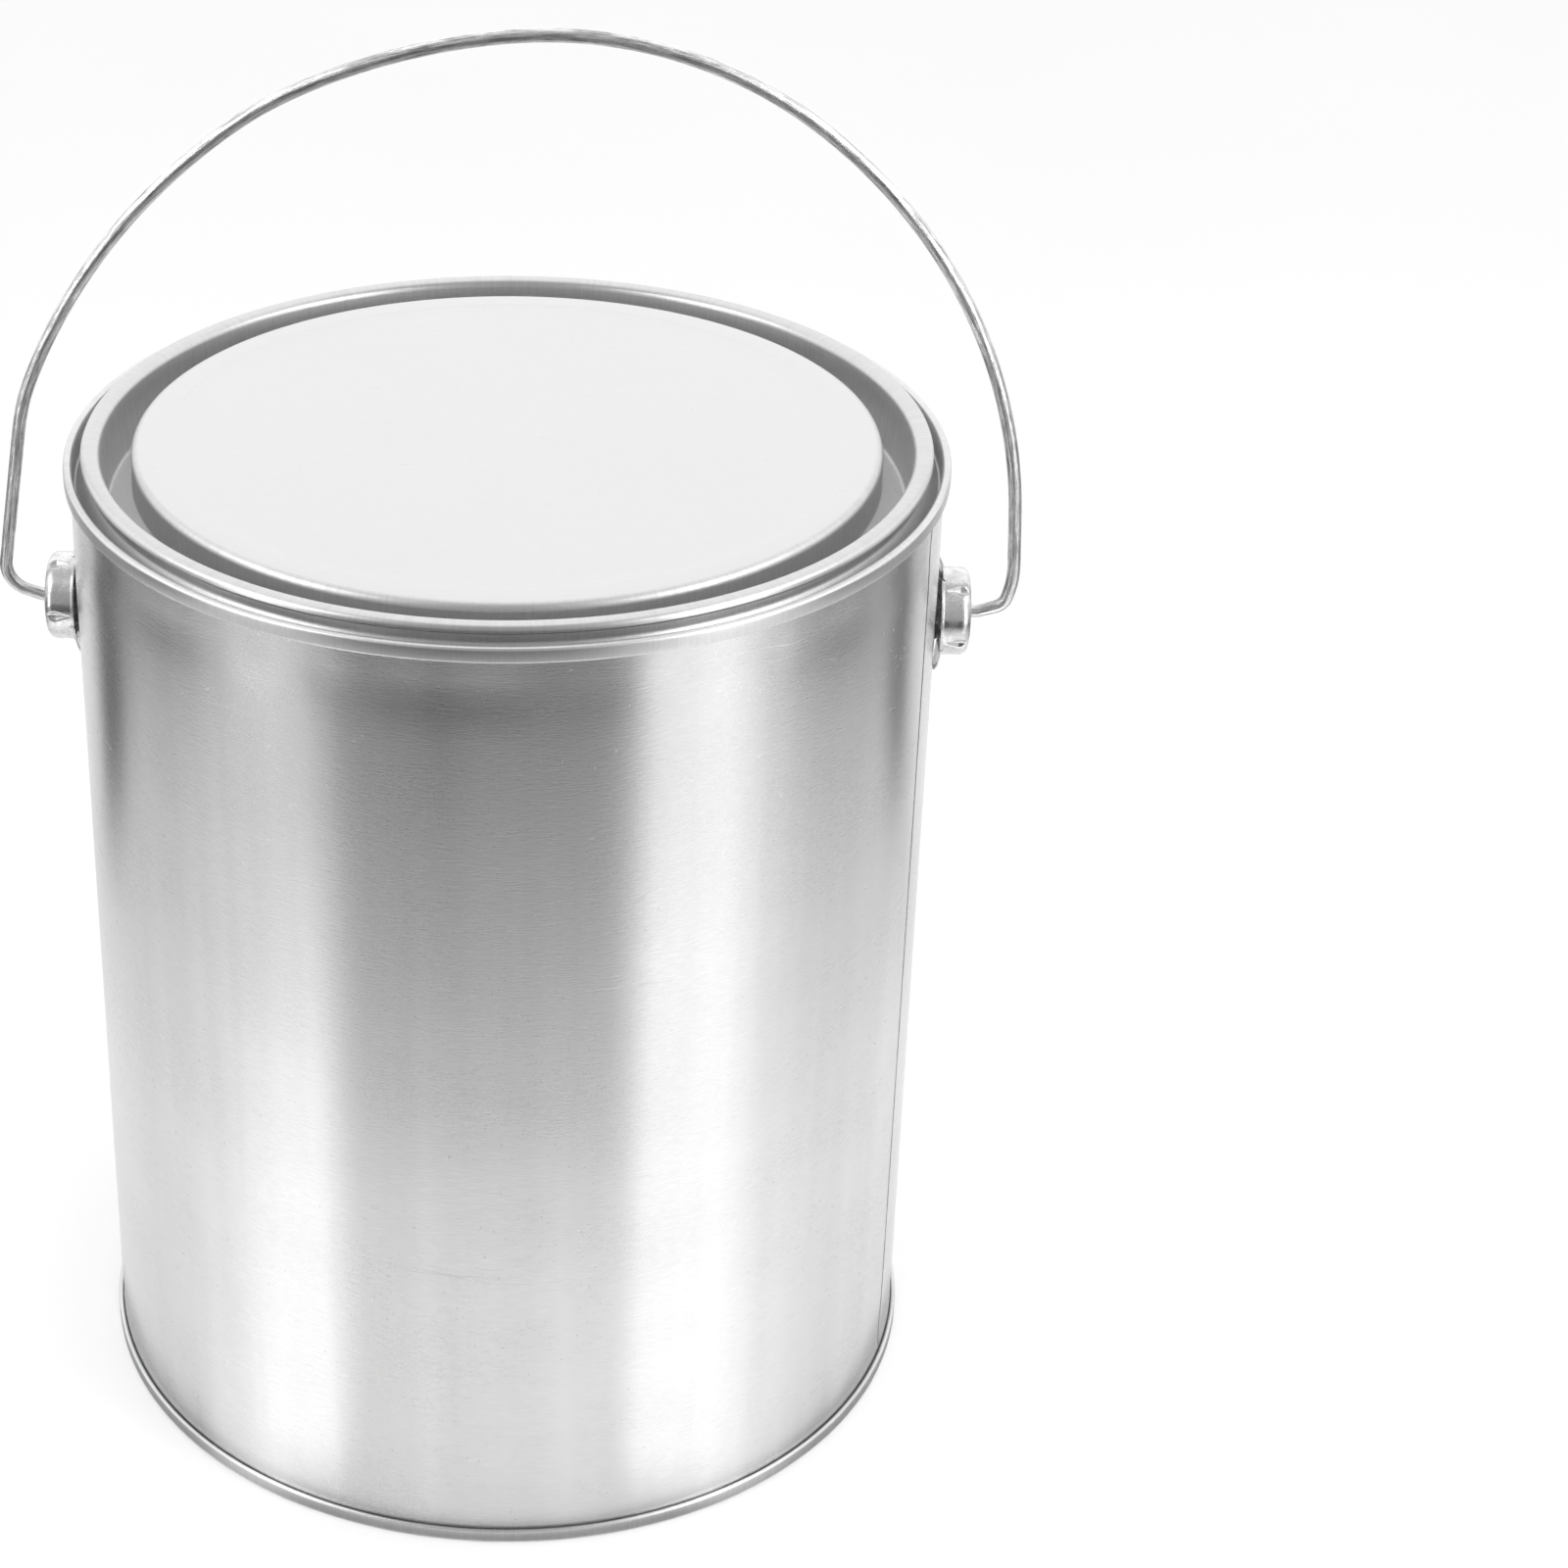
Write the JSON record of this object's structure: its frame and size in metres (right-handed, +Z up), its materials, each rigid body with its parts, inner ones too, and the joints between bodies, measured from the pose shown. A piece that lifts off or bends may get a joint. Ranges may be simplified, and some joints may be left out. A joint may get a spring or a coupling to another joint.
{
  "type": "paint can",
  "caption": "Round seamed tinplate paint can with a friction lid pressed into a top ring and a wire bail hinged in pressed side ears.",
  "frame": {"origin": "middle of the base, on the plane that the can stands on", "axes": "+Z up, +X through the right ear along the bail's pivot axis, +Y to the back"},
  "size_m": [0.1943, 0.1652, 0.2752],
  "materials": {
    "tinplate_body": "bright tinplate with fine rolling grain",
    "tinplate_ends": "bright tinplate, pressed",
    "tinplate_lid": "bright tinplate, pressed",
    "weld": "bare resistance weld",
    "ear_steel": "bright, pressed",
    "bail_steel": "drawn wire",
    "sealing_compound": "matt"
  },
  "bodies": {
    "can": {"body_shell": "tinplate_body", "side_weld": "weld", "bottom_end": "tinplate_ends", "bottom_compound": "sealing_compound", "top_ring": "tinplate_ends", "top_compound": "sealing_compound", "left_ear": "ear_steel", "right_ear": "ear_steel"},
    "lid": {"lid_plug": "tinplate_lid"},
    "bail": {"bail_wire": "bail_steel"}
  },
  "joints": [
    {"name": "bail_swing", "type": "hinge", "parent": "can", "child": "bail", "pos_m": [0, 0, 0.1623], "axis": [1, 0, 0], "range_deg": [-131, 131]},
    {"name": "lid_lift", "type": "slide", "parent": "can", "child": "lid", "axis": [0, 0, 1], "range_m": [0, 0.02]}
  ]
}
